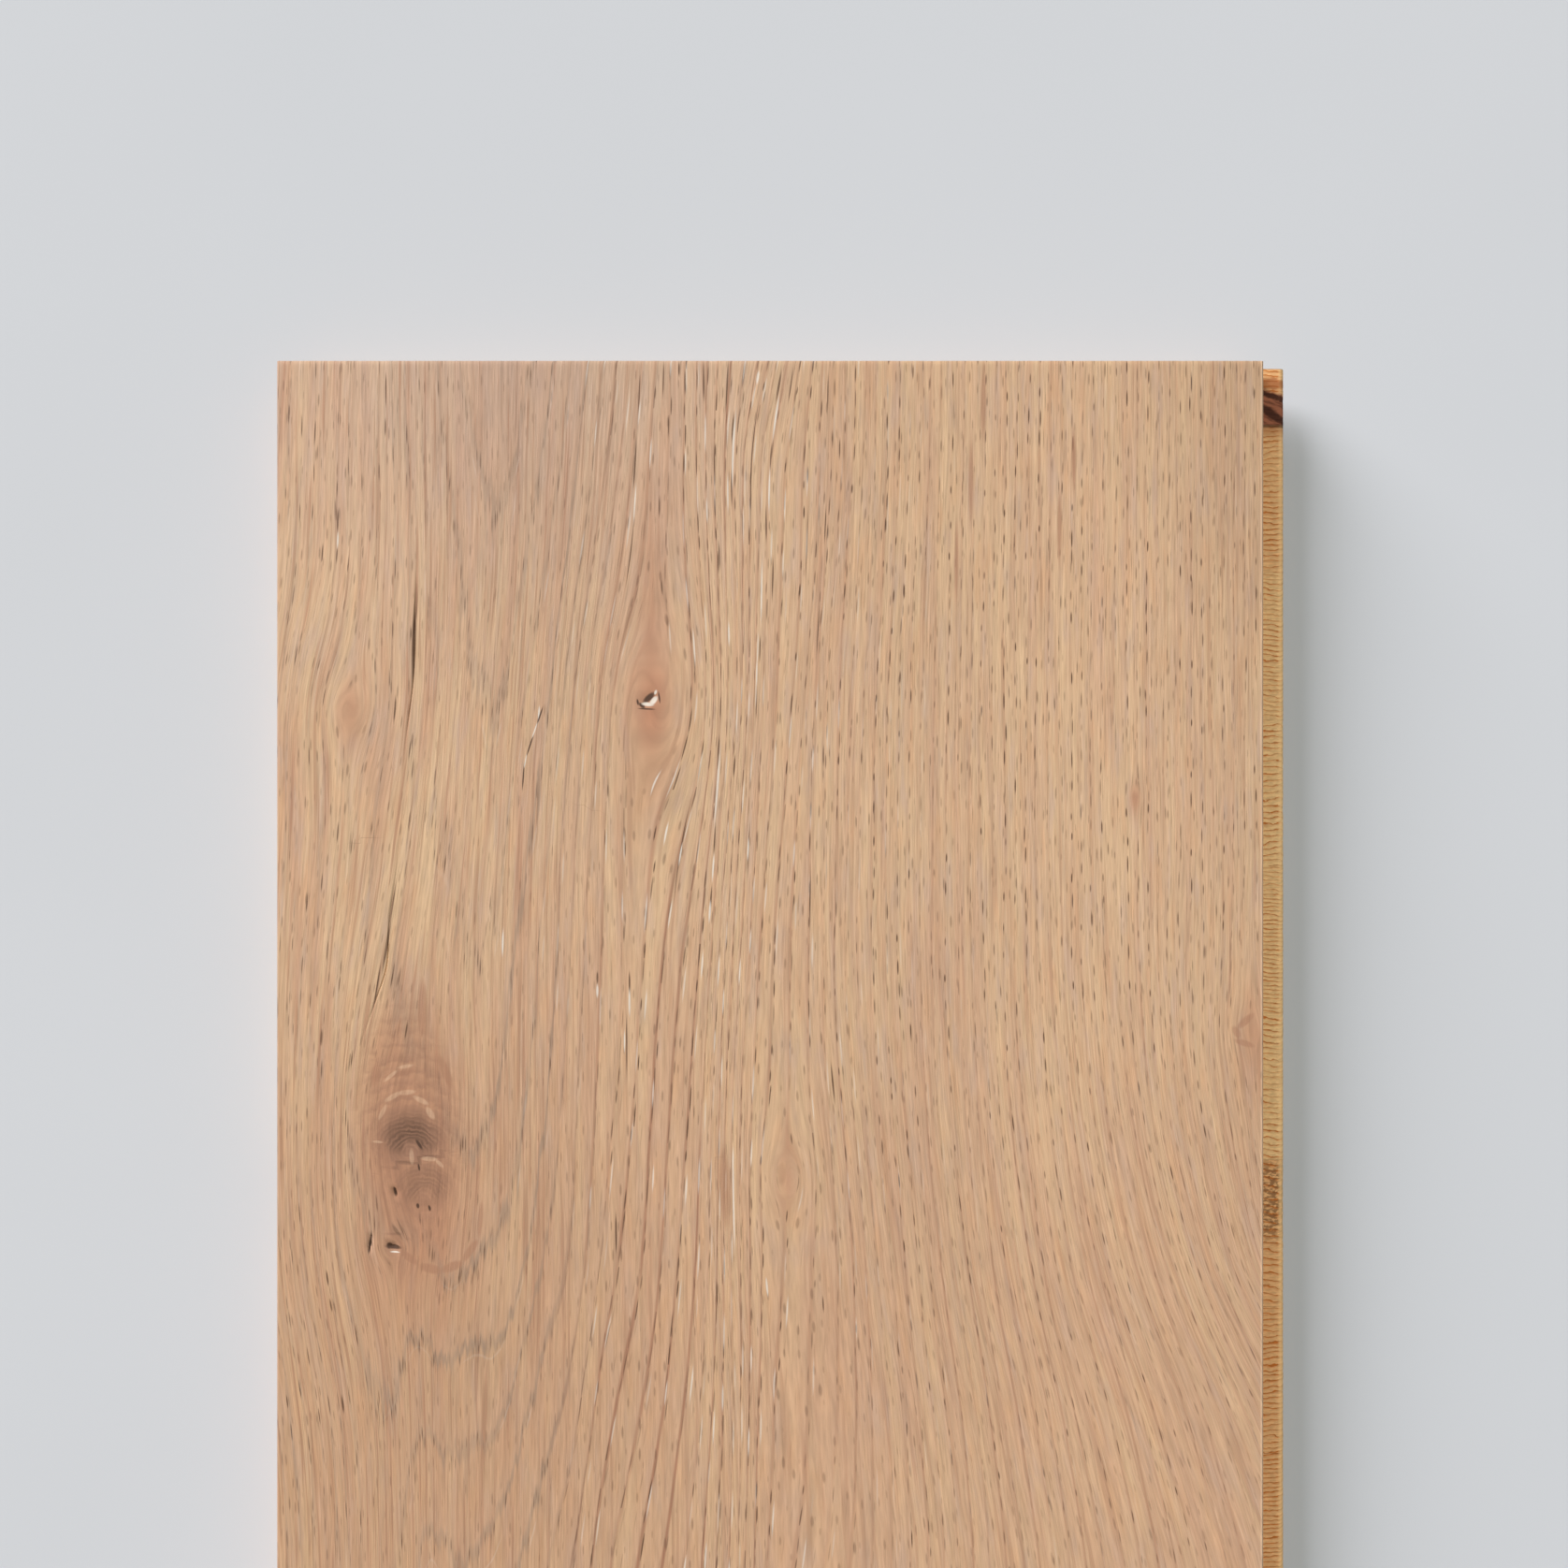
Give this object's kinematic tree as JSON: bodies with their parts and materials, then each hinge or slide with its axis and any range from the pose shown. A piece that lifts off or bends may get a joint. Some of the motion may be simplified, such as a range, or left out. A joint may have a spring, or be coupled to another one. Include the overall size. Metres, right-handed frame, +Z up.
{
  "type": "engineered oak floorboard",
  "caption": "Engineered oak floorboard: oak face glued on a core of cross-laid softwood slats with a backing veneer, a tongue on one long edge and a groove on the other.",
  "frame": {"origin": "on the underside, in the middle of the covering width and of the length", "axes": "+Z up out of the oak face, +X across the board towards the tongue, +Y along the board towards the end that the picture shows"},
  "size_m": [0.196, 1.9, 0.014],
  "materials": {
    "oak": "brushed and matt oiled, with pale pigment left in the pores",
    "softwood_core": "sawn and milled, bare",
    "softwood_backing": "sanded, bare"
  },
  "bodies": {
    "root": {"oak_face": "oak", "core_slats": "softwood_core", "backing": "softwood_backing"}
  },
  "joints": []
}
